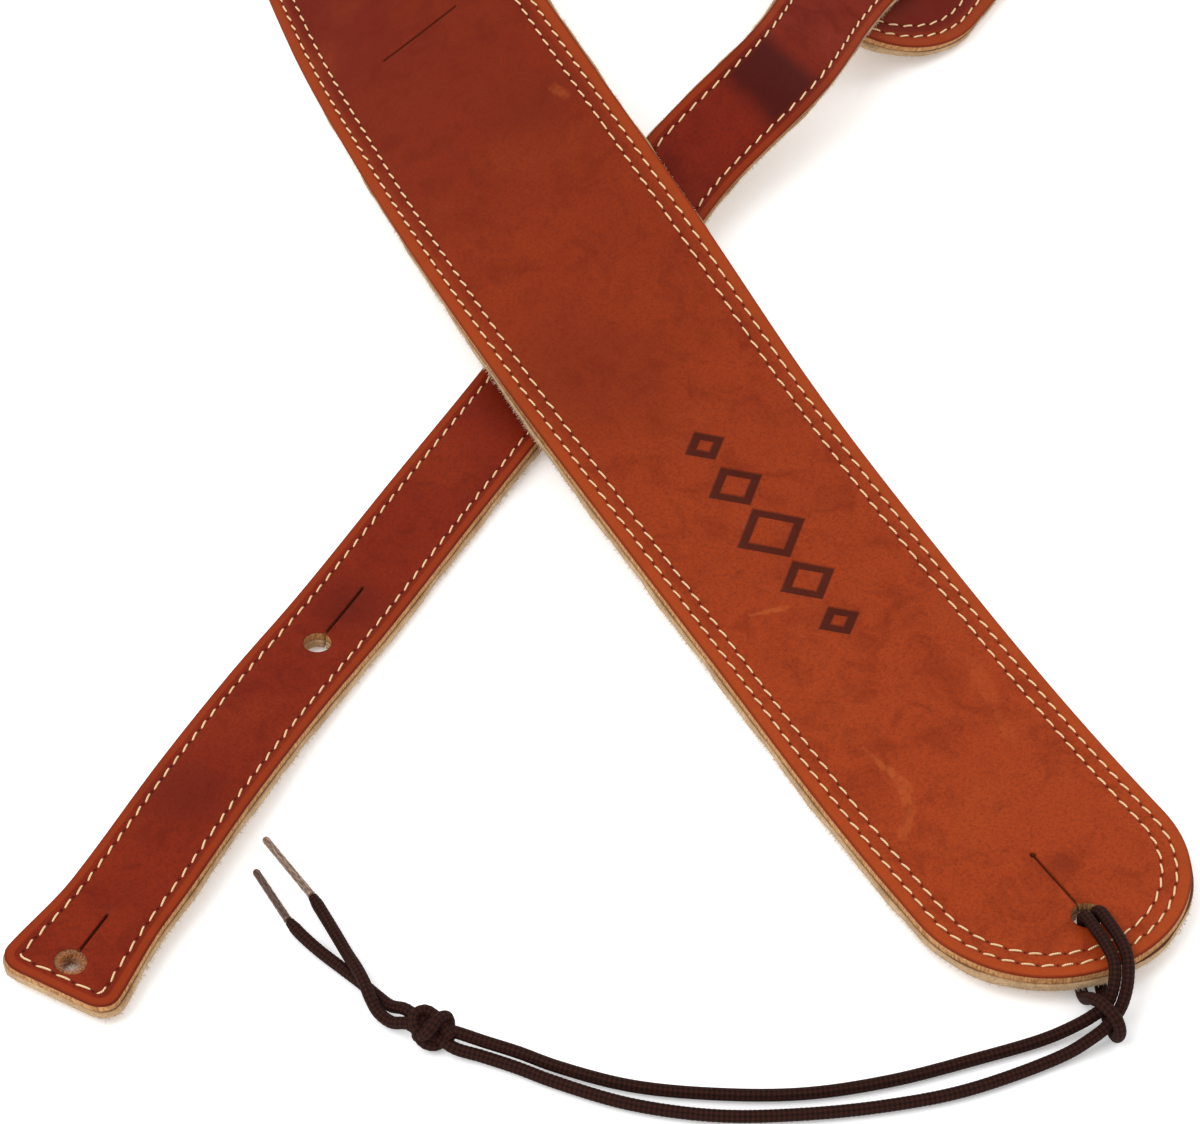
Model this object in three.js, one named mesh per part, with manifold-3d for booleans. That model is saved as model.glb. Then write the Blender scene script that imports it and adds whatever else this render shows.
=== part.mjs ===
// Two-ply leather guitar strap: a wide stitched pad laid in an open loop, a narrow stitched tail
// that slides under a bridge cut in the pad's rear end, and a lace hitched through the pad's
// button hole. Units are millimetres, +Z is up and the strap lies on the plane z = 0.
import * as THREE from 'three';
import { mergeVertices } from 'three/addons/utils/BufferGeometryUtils.js';
import Module from 'manifold-3d';

const wasm = await Module();
wasm.setup();

// Driving dimensions.
const HALF_THICKNESS = 2.4; // leather strap, both plies
const PLY_GAP = 0.15; // half of the glue line between the plies
const PAD_HALF_WIDTH = 31.75;
const TAIL_HALF_WIDTH = 11.9;
const TAIL_INNER_CORNER = 4;
const TAIL_OUTER_CORNER = 4.5;
const TAIL_FLARE = 0.2; // how much wider the tail is at its outer end
const TAIL_FLARE_LENGTH = 26;
const OUTER_ROW = 3.2; // stitching rows, measured in from the edge
const INNER_ROW = 6.4;
const THREAD_HALF_WIDTH = 0.45;
const THREAD_LIFT = 0.3; // from the leather to the thread
const THREAD_HEIGHT = 0.3;
const KEYHOLE_RADIUS = 3.5; // the pad's button hole
const TAIL_KEYHOLE_RADIUS = 3.15;
const KEYHOLE_CUT = 17; // length of the cut beside the pad's button hole
const TAIL_KEYHOLE_CUTS = [10.5, 17]; // beside the outer and the inner hole
const CUT_WIDTH = 0.7;
const PAD_HOLE_AT = 15; // from the pad's front tip to the button hole's centre
const TAIL_HOLES_AT = [7.3, 113.2]; // from the tail's outer end
const SPARE_SLIT_AT = 336; // transverse slit in the middle of the pad, from the front tip
const SPARE_SLIT_LENGTH = 23;
const BRIDGE_SLITS_AT = [36, 58]; // slits on both sides of the bridge, from the pad's rear tip
const BRIDGE_SLIT_LENGTH = 38;
const BRIDGE_RISE = 11.9; // height of the bridge over the rest of the pad
const BRIDGE_FLAT = 12.6; // half of the arch's level part, across the pad
const BRIDGE_FOOT = 23; // where the arch meets the pad, across the pad
const BRIDGE_FADE = 24; // length over which the pad's sides come back down
const LACE_RADIUS = 1.38;
const TIP_RADIUS = 0.95; // clear tube on each lace end

// The middle of the strap's footprint, where the frame's origin is, in the layout's own numbers.
const LAYOUT_CENTRE = [13.95, 140.45];

// Centrelines: x, y, bank in degrees, and how far the low edge is held off the ground. The strap
// stands on its outer edge by its bank angle, from the front tip, round the loop, to the rear tip.
const PAD_PATH = [
  [110.9, -126.9, 0, 4], [80.6, -74.2, 0, 1.5], [52.5, -21.5, 0, 1.45], [22.3, 31, 3.5, 5.8],
  [-6.5, 84, 15.4, 7.8], [-32.3, 139, 26.3, 4.4], [-55.1, 195, 33.1, 1.2], [-70.2, 245, 40.3, 0.3],
  [-69.6, 292, 47.2, 0.1], [-54, 339, 61, 0.1], [-25, 380, 74, 0.1], [18, 407, 82, 0],
  [66, 409, 80, 0], [107, 384, 68, 0], [128, 340, 46, 0], [117.6, 287.9, 26, 0],
  [97.6, 253.3, 26, 0], [77.6, 218.6, 26, 0], [57.6, 184, 26, 0],
];
// The tail's centreline, in the same form, from its inner end on the pad to its outer end.
const TAIL_PATH = [
  [106.5, 263.2, 26, 14.4], [91, 236.4, 26, 14.4], [75.5, 209.5, 26, 14.4], [60, 182.7, 26, 14.4],
  [46.8, 153, 28, 16.9], [20.5, 123, 25, 7.8], [1, 90, 4, 1.5], [-18.3, 54, 0, 0.9],
  [-38.2, 17, 0, 0.7], [-57.7, -20, 0, 0.7], [-72.6, -47.5, 0, 1.8], [-86, -76, 0, 4.2],
  [-99.2, -104.4, 1, 4.3], [-114.7, -132.1, 1, 1.9],
];

// A ribbon follows a centreline and turns about it by a bank angle.
class Ribbon {
  constructor(rows, halfWidth, flare = 0) {
    const height = ([, , bank, lift]) => {
      const angle = THREE.MathUtils.degToRad(bank);
      return halfWidth * Math.sin(angle) + HALF_THICKNESS * Math.cos(angle) + lift;
    };
    const points = rows.map((row) => new THREE.Vector3(row[0], row[1], height(row)));
    const banks = rows.map((row) => new THREE.Vector3(row[2], 0, 0));
    this.path = new THREE.CatmullRomCurve3(points, false, 'catmullrom', 0.5);
    this.banks = new THREE.CatmullRomCurve3(banks, false, 'catmullrom', 0.5);
    this.path.arcLengthDivisions = 24 * (rows.length - 1);
    this.length = this.path.getLength();
    this.flare = flare;
  }

  // The place on the ribbon at a distance along it: origin, along, across (to the right) and up.
  frame(distance) {
    const t = this.path.getUtoTmapping(0, distance);
    const origin = this.path.getPoint(t);
    const along = this.path.getTangent(t);
    const level = new THREE.Vector3().crossVectors(along, new THREE.Vector3(0, 0, 1)).normalize();
    const bank = THREE.MathUtils.degToRad(this.banks.getPoint(t).x);
    const across = level.clone().applyAxisAngle(along, -bank);
    const up = new THREE.Vector3().crossVectors(across, along);
    return { origin, along, across, up };
  }

  point(distance, side, height) {
    const { origin, across, up } = this.frame(distance);
    const intoFlare = THREE.MathUtils.smoothstep(distance, this.length - TAIL_FLARE_LENGTH, this.length);
    return origin.addScaledVector(across, side * (1 + this.flare * intoFlare)).addScaledVector(up, height);
  }

  matrix(distance, side, height) {
    const { along, across, up } = this.frame(distance);
    return new THREE.Matrix4().makeBasis(along, across.negate(), up).setPosition(this.point(distance, side, height));
  }
}

const padRibbon = new Ribbon(PAD_PATH, PAD_HALF_WIDTH);
const tailRibbon = new Ribbon(TAIL_PATH, TAIL_HALF_WIDTH, TAIL_FLARE);

// Where the pad's rear end arches over the tail: a bridge between two slits.
const bridgeSlits = BRIDGE_SLITS_AT.map((fromRear) => padRibbon.length - fromRear).sort((a, b) => a - b);

function fade(value, from, to) {
  return 1 - THREE.MathUtils.smoothstep(value, from, to);
}

function bridgeLift(distance, side) {
  const offset = Math.max(bridgeSlits[0] - distance, distance - bridgeSlits[1], 0);
  const arch = BRIDGE_RISE * fade(Math.abs(side), BRIDGE_FLAT, BRIDGE_FOOT);
  if (offset === 0) return arch;
  const slitEnd = BRIDGE_SLIT_LENGTH / 2;
  const endLift = BRIDGE_RISE * fade(slitEnd, BRIDGE_FLAT, BRIDGE_FOOT);
  const beside = Math.abs(side) < slitEnd ? endLift * (1 - fade(Math.abs(side), BRIDGE_FLAT, slitEnd)) : arch;
  return beside * fade(offset, 0, BRIDGE_FADE);
}

// A flat pattern has a half width at each distance, and its stations are where it bends.
const pad = {
  ribbon: padRibbon,
  halfWidth: (x) => roundedHalfWidth(x, padRibbon.length, PAD_HALF_WIDTH, PAD_HALF_WIDTH, PAD_HALF_WIDTH),
  lift: bridgeLift,
  rows: [-1, -0.89, -0.76, -0.6, -0.4, 0.4, 0.6, 0.76, 0.89, 1],
  corners: [PAD_HALF_WIDTH, PAD_HALF_WIDTH],
  wide: PAD_HALF_WIDTH,
  stations: [],
};
const tail = {
  ribbon: tailRibbon,
  halfWidth: (x) => roundedHalfWidth(x, tailRibbon.length, TAIL_HALF_WIDTH, TAIL_INNER_CORNER, TAIL_OUTER_CORNER),
  lift: () => 0,
  rows: [-1, -0.5, 0.5, 1],
  corners: [TAIL_INNER_CORNER, TAIL_OUTER_CORNER],
  wide: TAIL_HALF_WIDTH,
  stations: [],
};

function roundedHalfWidth(x, length, wide, startCorner, endCorner) {
  const intoCorner = (corner, fromEnd) => (fromEnd < corner
    ? wide - corner + Math.sqrt(corner ** 2 - (corner - fromEnd) ** 2) : wide);
  return Math.min(intoCorner(startCorner, x), intoCorner(endCorner, length - x));
}

// Distances at which a strap is bent: even steps between its two rounded ends.
function cornerDistances(corner, steps) {
  return Array.from({ length: steps }, (_, i) => corner * (1 - Math.cos(((i + 0.35) / steps) * (Math.PI / 2))));
}

function evenSteps(from, to, step) {
  const count = Math.max(1, Math.round((to - from) / step));
  return Array.from({ length: count }, (_, i) => from + ((to - from) * i) / count);
}

const slitMargin = CUT_WIDTH * 0.6;
const padBreaks = bridgeSlits.flatMap((x) => [x - slitMargin, x + slitMargin]);
pad.stations = [
  ...cornerDistances(PAD_HALF_WIDTH, 6),
  ...evenSteps(PAD_HALF_WIDTH, padBreaks[0] - BRIDGE_FADE, 17),
  ...evenSteps(padBreaks[0] - BRIDGE_FADE, padBreaks[0], 7.5),
  padBreaks[0],
  ...evenSteps(padBreaks[1], padBreaks[2], 7),
  padBreaks[2],
  padBreaks[3],
  ...cornerDistances(PAD_HALF_WIDTH, 6).reverse().map((x) => padRibbon.length - x),
];
tail.stations = [
  ...cornerDistances(TAIL_INNER_CORNER, 2),
  ...evenSteps(TAIL_INNER_CORNER, tailRibbon.length - TAIL_OUTER_CORNER, 12.5),
  ...cornerDistances(TAIL_OUTER_CORNER, 3).reverse().map((x) => tailRibbon.length - x),
];

// Closed mesh to manifold solid and back.
function toSolid(geometry) {
  const plain = geometry.clone();
  plain.deleteAttribute('normal');
  plain.deleteAttribute('uv');
  const merged = mergeVertices(plain, 1e-4);
  return new wasm.Manifold(new wasm.Mesh({
    numProp: 3,
    vertProperties: new Float32Array(merged.attributes.position.array),
    triVerts: new Uint32Array(merged.index.array),
  }));
}

function toGeometry(solid) {
  const mesh = solid.getMesh();
  const geometry = new THREE.BufferGeometry();
  geometry.setAttribute('position', new THREE.BufferAttribute(new Float32Array(mesh.vertProperties), 3));
  geometry.setIndex(new THREE.BufferAttribute(new Uint32Array(mesh.triVerts), 1));
  geometry.computeVertexNormals();
  return geometry;
}

function cut(geometry, cutters) {
  const solid = cutters.reduce((whole, cutter) => whole.subtract(toSolid(cutter)), toSolid(geometry));
  return toGeometry(solid);
}

// Turns the diagonals of a box's bottom face, so that they lie as those of its top face do and two
// plies bent alike stay parallel.
function alignDiagonals(geometry) {
  const { index, groups: [, , , , , bottom] } = geometry;
  for (let i = bottom.start; i < bottom.start + bottom.count; i += 6) {
    const [a, b, d, , c] = index.array.slice(i, i + 5);
    index.array.set([a, b, c, a, c, d], i);
  }
}

// One ply: a box whose grid is laid on the flat pattern and then bent along the ribbon.
function bentPly(strap, low, high) {
  const { stations, rows, ribbon } = strap;
  const geometry = new THREE.BoxGeometry(1, 1, 1, stations.length - 1, rows.length - 1, 1);
  alignDiagonals(geometry);
  const position = geometry.attributes.position;
  for (let i = 0; i < position.count; i += 1) {
    const distance = stations[Math.round((position.getX(i) + 0.5) * (stations.length - 1))];
    const fraction = rows[Math.round((position.getY(i) + 0.5) * (rows.length - 1))];
    const side = -fraction * strap.halfWidth(distance);
    const height = (position.getZ(i) > 0 ? high : low) + strap.lift(distance, side);
    const point = ribbon.point(distance, side, height);
    position.setXYZ(i, point.x, point.y, point.z);
  }
  return geometry;
}

// The closed line of a stitching row, as distance and side, a fixed way in from the pattern's edge.
function rowLine(strap, inset) {
  const { ribbon, wide, corners: [startCorner, endCorner], stations } = strap;
  const length = ribbon.length;
  const side = wide - inset;
  const straight = stations.filter((x) => x > startCorner + 2 && x < length - endCorner - 2);
  const corner = (centre, radius, towards) => Array.from({ length: 7 }, (_, i) => {
    const angle = (i / 6) * (Math.PI / 2);
    return [centre + towards * radius * Math.cos(angle), radius * Math.sin(angle) + side - radius];
  });
  const start = corner(startCorner, Math.max(startCorner - inset, 0.5), -1);
  const end = corner(length - endCorner, Math.max(endCorner - inset, 0.5), 1).reverse();
  const right = [...start, ...straight.map((x) => [x, side]), ...end];
  const left = right.slice().reverse().map(([x, s]) => [x, -s]);
  const closed = [...right, ...left];
  return closed.filter(([x, s], i) => {
    const [nextX, nextS] = closed[(i + 1) % closed.length];
    return Math.hypot(nextX - x, nextS - s) > 0.05;
  });
}

// A stitching thread: a low ridge that runs round the strap on one face.
function threadLoop(strap, inset, face) {
  const line = rowLine(strap, inset);
  const geometry = new THREE.TorusGeometry(1, 0.1, 3, line.length);
  const position = geometry.attributes.position;
  const count = line.length;
  const perRing = count + 1;
  const base = face * (HALF_THICKNESS + THREAD_LIFT);
  const section = [[-face * THREAD_HALF_WIDTH, 0], [0, face * THREAD_HEIGHT], [face * THREAD_HALF_WIDTH, 0]];
  for (let i = 0; i < position.count; i += 1) {
    const at = (i % perRing) % count;
    const [inward, rise] = section[Math.floor(i / perRing) % 3];
    const [x, s] = line[at];
    const [beforeX, beforeS] = line[(at + count - 1) % count];
    const [afterX, afterS] = line[(at + 1) % count];
    const way = new THREE.Vector2(afterX - beforeX, afterS - beforeS).normalize();
    const distance = x + way.y * inward;
    const side = s - way.x * inward;
    const point = strap.ribbon.point(distance, side, base + rise + strap.lift(distance, side));
    position.setXYZ(i, point.x, point.y, point.z);
  }
  return geometry;
}

// Cutters, placed on a ribbon by distance and side.
function holeCutter(ribbon, distance, radius) {
  const geometry = new THREE.CylinderGeometry(radius, radius, 12, 20).rotateX(Math.PI / 2);
  return geometry.applyMatrix4(ribbon.matrix(distance, 0, 0));
}

function cutCutter(ribbon, from, to) {
  const geometry = new THREE.BoxGeometry(to - from, CUT_WIDTH, 12);
  return geometry.applyMatrix4(ribbon.matrix((from + to) / 2, 0, 0));
}

function slitCutter(ribbon, distance, length, width, depth) {
  const geometry = new THREE.BoxGeometry(width, length, depth);
  return geometry.applyMatrix4(ribbon.matrix(distance, 0, depth > 20 ? BRIDGE_RISE / 2 : 0));
}

const padCutters = [
  holeCutter(padRibbon, PAD_HOLE_AT, KEYHOLE_RADIUS),
  cutCutter(padRibbon, PAD_HOLE_AT, PAD_HOLE_AT + KEYHOLE_RADIUS + KEYHOLE_CUT),
  slitCutter(padRibbon, SPARE_SLIT_AT, SPARE_SLIT_LENGTH, CUT_WIDTH, 12),
  ...bridgeSlits.map((x) => slitCutter(padRibbon, x, BRIDGE_SLIT_LENGTH, slitMargin * 2 + 0.5, 24)),
];
const tailCutters = TAIL_HOLES_AT.flatMap((fromEnd, i) => {
  const centre = tailRibbon.length - fromEnd;
  const hole = holeCutter(tailRibbon, centre, TAIL_KEYHOLE_RADIUS);
  return [hole, cutCutter(tailRibbon, centre - TAIL_KEYHOLE_RADIUS - TAIL_KEYHOLE_CUTS[i], centre)];
});

// The lace is hitched to the pad. Its bight goes down the button hole, out under the pad's edge
// and round the two strands, which come over the edge from the top of the hole.
const BIGHT = [
  [102.2, -114.6, 5.1], [102.2, -115, 2.5], [102, -117.8, 1.45], [101.4, -123, 1.45],
  [101.2, -128.4, 1.6], [101.6, -132.4, 3.2], [102.6, -135.9, 7.2], [104.6, -139, 9],
  [107, -141.8, 7.9], [108, -142.7, 4.8], [107.6, -141.6, 1.8], [106.5, -138, 1.45],
  [106, -134, 1.45], [105.5, -128, 1.45], [105.1, -121.5, 1.45], [105, -116.6, 1.45],
  [104.9, -113.6, 2.5], [104.9, -113.2, 5.1],
];
const KNOT_CENTRE = [-35.2, -141.1, 4.1];
const KNOT_RADII = [4.8, 4.3, 3.9];
const KNOT_TURN = 28;
const STRAND_A_INNER = [
  [102.2, -114.6, 5.6], [102.3, -114.8, 8.4], [102.8, -116.2, 10.1], [104.2, -119.8, 10.7],
  [106.2, -124.4, 10.8], [107.5, -129.2, 10.5], [107.2, -133.2, 8.6], [105.6, -136.4, 5.8],
  [102.2, -138.6, 4.4], [98, -140.2, 2.8], [92.1, -142.4, 1.7], [78.2, -147.2, 1.42],
  [59.9, -153, 1.42], [42, -156.3, 1.42], [24.1, -156.4, 1.42], [6.2, -154.2, 1.42],
  [-9, -149.4, 1.7], [-17, -146.4, 2.6], [-24, -144, 3.1], [-30.1, -142.1, 3.9],
];
const STRAND_B_INNER = [
  [104.9, -113.2, 5.6], [105.1, -113.4, 8.4], [105.9, -114.8, 10.1], [107.2, -118.2, 10.8],
  [109, -122.6, 11], [110.3, -127.6, 10.8], [110.1, -132.8, 8.8], [108.6, -137, 6],
  [105.6, -140.9, 4.5], [101, -144, 2.9], [96, -146.6, 1.7], [75.9, -155.3, 1.42],
  [59.6, -159.3, 1.42], [41.9, -161.6, 1.42], [24, -162, 1.42], [6.2, -159, 1.42],
  [-9, -153.4, 1.42], [-17.5, -149.4, 1.42], [-24.4, -146.7, 1.6], [-30.6, -144.9, 2.4],
];
const STRAND_A_OUTER = [
  [-40.7, -139.3, 3.4], [-43.5, -138.1, 2.2], [-46.3, -135.7, 2.4], [-48, -133.1, 3.7],
  [-49.5, -129.3, 4.6], [-51.3, -125.2, 4.4], [-53.2, -120.8, 3], [-57.6, -111.1, 1.6], [-61.6, -103.2, 1.42],
];
const STRAND_B_OUTER = [
  [-40.5, -136.2, 4], [-43.8, -133.9, 2.4], [-46.9, -130.4, 1.45], [-50, -127.2, 1.42],
  [-53.9, -123.5, 1.42], [-59.4, -118.3, 1.42], [-63.6, -113.7, 1.42], [-66.2, -110.2, 1.42],
];
const TIP_A = [[-61.9, -102.7, 1.42], [-73, -86.3, 1.42]];
const TIP_B = [[-66.6, -109.7, 1.42], [-74.5, -95.6, 1.42]];

const toVectors = (rows) => rows.map((row) => new THREE.Vector3(...row));

function tube(rows, radius, steps, sides = 8) {
  const curve = rows.length > 2 ? new THREE.CatmullRomCurve3(toVectors(rows)) : new THREE.LineCurve3(...toVectors(rows));
  const outline = Array.from({ length: sides }, (_, i) => {
    const angle = (i / sides) * 2 * Math.PI;
    return new THREE.Vector2(radius * Math.cos(angle), radius * Math.sin(angle));
  });
  return new THREE.ExtrudeGeometry(new THREE.Shape(outline), { steps, bevelEnabled: false, extrudePath: curve });
}

function knot() {
  const geometry = new THREE.SphereGeometry(1, 12, 8);
  geometry.scale(...KNOT_RADII).rotateZ(THREE.MathUtils.degToRad(KNOT_TURN));
  return geometry.translate(...KNOT_CENTRE);
}

// Materials.
const grain = (color) => new THREE.MeshStandardMaterial({ color, roughness: 0.55, metalness: 0 });
const suede = (color) => new THREE.MeshStandardMaterial({ color, roughness: 0.95, metalness: 0 });
const thread = () => new THREE.MeshStandardMaterial({ color: 0xd9b68a, roughness: 0.7, metalness: 0 });
const braid = () => new THREE.MeshStandardMaterial({ color: 0x2a1510, roughness: 0.8, metalness: 0 });
const clear = () => new THREE.MeshStandardMaterial({ color: 0x8a8078, roughness: 0.25, metalness: 0 });

const group = new THREE.Group();
group.position.set(-LAYOUT_CENTRE[0], -LAYOUT_CENTRE[1], 0);

function add(name, geometry, material) {
  const mesh = new THREE.Mesh(geometry, material);
  mesh.name = name;
  group.add(mesh);
}

function addStrap(prefix, strap, cutters, colors, rows) {
  add(`${prefix}_grain_ply`, cut(bentPly(strap, PLY_GAP, HALF_THICKNESS), cutters), grain(colors[0]));
  add(`${prefix}_lining_ply`, cut(bentPly(strap, -HALF_THICKNESS, -PLY_GAP), cutters), suede(colors[1]));
  rows.forEach(([rowName, inset]) => {
    add(`${prefix}_${rowName}needle_thread`, threadLoop(strap, inset, 1), thread());
    add(`${prefix}_${rowName}bobbin_thread`, threadLoop(strap, inset, -1), thread());
  });
}

addStrap('pad', pad, padCutters, [0x8a3a1c, 0xb98a5e], [['outer_', OUTER_ROW], ['inner_', INNER_ROW]]);
addStrap('tail', tail, tailCutters, [0x7c2d18, 0xb98a5e], [['', OUTER_ROW]]);
add('lace_bight', tube(BIGHT, LACE_RADIUS, 36), braid());
add('lace_strand_a_run', tube(STRAND_A_INNER, LACE_RADIUS, 44), braid());
add('lace_strand_b_run', tube(STRAND_B_INNER, LACE_RADIUS, 44), braid());
add('lace_knot', knot(), braid());
add('lace_strand_a_end', tube(STRAND_A_OUTER, LACE_RADIUS, 7), braid());
add('lace_strand_b_end', tube(STRAND_B_OUTER, LACE_RADIUS, 7), braid());
add('lace_tip_a', tube(TIP_A, TIP_RADIUS, 1), clear());
add('lace_tip_b', tube(TIP_B, TIP_RADIUS, 1), clear());

export default group;
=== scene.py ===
# Two-ply leather guitar strap: a stitched pad in an open loop, a stitched tail under it, and a
# braided lace hitched in the pad's button hole. Lengths are millimetres and become metres when a
# mesh is made. "Flat" numbers are a place on a leather cut: along it, across it, and height.
import math
from functools import partialmethod

import bmesh
import bpy
import numpy as np
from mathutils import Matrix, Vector, geometry


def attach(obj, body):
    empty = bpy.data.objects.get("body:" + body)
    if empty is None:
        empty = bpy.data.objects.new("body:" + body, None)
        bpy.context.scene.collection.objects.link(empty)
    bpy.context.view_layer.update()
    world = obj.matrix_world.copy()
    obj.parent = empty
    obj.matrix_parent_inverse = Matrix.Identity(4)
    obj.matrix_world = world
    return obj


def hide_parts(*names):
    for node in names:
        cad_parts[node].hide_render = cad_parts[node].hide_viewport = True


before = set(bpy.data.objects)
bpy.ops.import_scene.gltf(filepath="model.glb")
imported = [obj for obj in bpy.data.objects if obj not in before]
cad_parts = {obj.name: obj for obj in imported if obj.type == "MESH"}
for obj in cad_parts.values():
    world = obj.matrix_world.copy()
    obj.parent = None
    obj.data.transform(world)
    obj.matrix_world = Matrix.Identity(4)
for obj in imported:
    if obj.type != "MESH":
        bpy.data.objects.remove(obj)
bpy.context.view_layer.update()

MM = 0.001

# Driving dimensions of the frame, repeated from the CAD.
LAYOUT_CENTRE = np.array([13.95, 140.45, 0.0])
HALF_THICKNESS = 2.4
PAD_HALF_WIDTH = 31.75
TAIL_HALF_WIDTH = 11.9
TAIL_INNER_CORNER = 4.0
TAIL_OUTER_CORNER = 4.5
TAIL_FLARE = 0.2
TAIL_FLARE_LENGTH = 26.0
OUTER_ROW = 3.2
INNER_ROW = 6.4
KEYHOLE_RADIUS = 3.5
TAIL_KEYHOLE_RADIUS = 3.15
KEYHOLE_CUT = 17.0
TAIL_KEYHOLE_CUTS = [10.5, 17.0]
PAD_HOLE_AT = 15.0
TAIL_HOLES_AT = [7.3, 113.2]
SPARE_SLIT_AT = 336.0
SPARE_SLIT_LENGTH = 23.0
BRIDGE_SLITS_AT = [36.0, 58.0]
BRIDGE_SLIT_LENGTH = 38.0
BRIDGE_SLIT_HALF = 0.67
BRIDGE_RISE = 11.9
BRIDGE_FLAT = 12.6
BRIDGE_FOOT = 23.0
BRIDGE_FADE = 24.0
LACE_RADIUS = 1.38
TIP_RADIUS = 0.95
TIP_SIDES = 20

# Looks.
CUT_HALF = 0.3  # half of a knife cut's width
STITCH_PITCH = 4.2
STITCH_SHARE = 0.78  # of the pitch that a stitch shows
THREAD_RADIUS = 0.24
STITCH_SLANT = 0.24
CHANNEL_DEPTH = 0.26
CHANNEL_HALF_WIDTH = 0.5
STATION = 2.1  # spacing of mesh points along an edge
GRAIN_EDGE = 0.5  # rounding of the burnished top edge
LINING_PROUD = 0.3  # how far the lining stands out past the grain ply
LINING_EDGE = 0.45  # rounding of the lining's lower edge
PAD_FIBRES, TAIL_FIBRES, HOLE_FIBRES = 9000, 5000, 2200
SEAM = 0.03  # from the middle of the strap to each ply
STAMP_DEPTH = 0.35
HOLE_RIM_DROP = 0.22  # how far an opening's rim is pressed down
OUTER_SPACING = 3.4  # of mesh points on a ply's outer face
INNER_SPACING = 7.0  # and on the face glued to the other ply

# Centrelines: x, y, bank in degrees, and how far the low edge is held off the ground.
PAD_PATH = [
    [110.9, -126.9, 0, 4], [80.6, -74.2, 0, 1.5], [52.5, -21.5, 0, 1.45], [22.3, 31, 3.5, 5.8],
    [-6.5, 84, 15.4, 7.8], [-32.3, 139, 26.3, 4.4], [-55.1, 195, 33.1, 1.2], [-70.2, 245, 40.3, 0.3],
    [-69.6, 292, 47.2, 0.1], [-54, 339, 61, 0.1], [-25, 380, 74, 0.1], [18, 407, 82, 0],
    [66, 409, 80, 0], [107, 384, 68, 0], [128, 340, 46, 0], [117.6, 287.9, 26, 0],
    [97.6, 253.3, 26, 0], [77.6, 218.6, 26, 0], [57.6, 184, 26, 0],
]
TAIL_PATH = [
    [106.5, 263.2, 26, 14.4], [91, 236.4, 26, 14.4], [75.5, 209.5, 26, 14.4], [60, 182.7, 26, 14.4],
    [46.8, 153, 28, 16.9], [20.5, 123, 25, 7.8], [1, 90, 4, 1.5], [-18.3, 54, 0, 0.9],
    [-38.2, 17, 0, 0.7], [-57.7, -20, 0, 0.7], [-72.6, -47.5, 0, 1.8], [-86, -76, 0, 4.2],
    [-99.2, -104.4, 1, 4.3], [-114.7, -132.1, 1, 1.9],
]

# The lace's route, from the button hole.
BIGHT = [
    [102.2, -114.6, 5.1], [102.2, -115, 2.5], [102, -117.8, 1.45], [101.4, -123, 1.45],
    [101.2, -128.4, 1.6], [101.6, -132.4, 3.2], [102.6, -135.9, 7.2], [104.6, -139, 9],
    [107, -141.8, 7.9], [108, -142.7, 4.8], [107.6, -141.6, 1.8], [106.5, -138, 1.45],
    [106, -134, 1.45], [105.5, -128, 1.45], [105.1, -121.5, 1.45], [105, -116.6, 1.45],
    [104.9, -113.6, 2.5], [104.9, -113.2, 5.1],
]
STRAND_A = [
    [102.2, -114.6, 5.6], [102.3, -114.8, 8.4], [102.8, -116.2, 10.1], [104.2, -119.8, 10.7],
    [106.2, -124.4, 10.8], [107.5, -129.2, 10.5], [107.2, -133.2, 8.6], [105.6, -136.4, 5.8],
    [102.2, -138.6, 4.4], [98, -140.2, 2.8], [92.1, -142.4, 1.7], [78.2, -147.2, 1.42],
    [59.9, -153, 1.42], [42, -156.3, 1.42], [24.1, -156.4, 1.42], [6.2, -154.2, 1.42],
    [-9, -149.4, 1.7], [-17, -146.4, 2.6], [-24, -144, 3.1], [-30.1, -142.1, 3.9],
    [-35.3, -140.7, 4.2], [-40.7, -139.3, 3.4], [-43.5, -138.1, 2.2], [-46.3, -135.7, 2.4],
    [-48, -133.1, 3.7],
    [-49.5, -129.3, 4.6], [-51.3, -125.2, 4.4], [-53.2, -120.8, 3], [-57.6, -111.1, 1.6],
    [-61.6, -103.2, 1.42],
]
STRAND_B = [
    [104.9, -113.2, 5.6], [105.1, -113.4, 8.4], [105.9, -114.8, 10.1], [107.2, -118.2, 10.8],
    [109, -122.6, 11], [110.3, -127.6, 10.8], [110.1, -132.8, 8.8], [108.6, -137, 6],
    [105.6, -140.9, 4.5], [101, -144, 2.9], [96, -146.6, 1.7], [75.9, -155.3, 1.42],
    [59.6, -159.3, 1.42], [41.9, -161.6, 1.42], [24, -162, 1.42], [6.2, -159, 1.42],
    [-9, -153.4, 1.42], [-17.5, -149.4, 1.42], [-24.4, -146.7, 1.6], [-30.6, -144.9, 2.4],
    [-35.4, -141.2, 3.8],
    [-40.5, -136.2, 4], [-43.8, -133.9, 2.4], [-46.9, -130.4, 1.45], [-50, -127.2, 1.42],
    [-53.9, -123.5, 1.42], [-59.4, -118.3, 1.42], [-63.6, -113.7, 1.42], [-66.2, -110.2, 1.42],
]
TIP_A = [[-61.9, -102.7, 1.42], [-73, -86.3, 1.42]]
TIP_B = [[-66.6, -109.7, 1.42], [-74.5, -95.6, 1.42]]
KNOT_CENTRE = np.array([-35.2, -141.1, 4.1])
KNOT_TIGHTNESS = 0.78
KNOT_THINNING = 0.2  # the lace is squeezed in the knot
KNOT_TURN = 152.0  # which way the lace runs through the knot, in degrees

random = np.random.default_rng(7)


def smoothstep(value, low, high):
    t = np.clip((value - low) / (high - low), 0, 1)
    return t * t * (3 - 2 * t)


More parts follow.
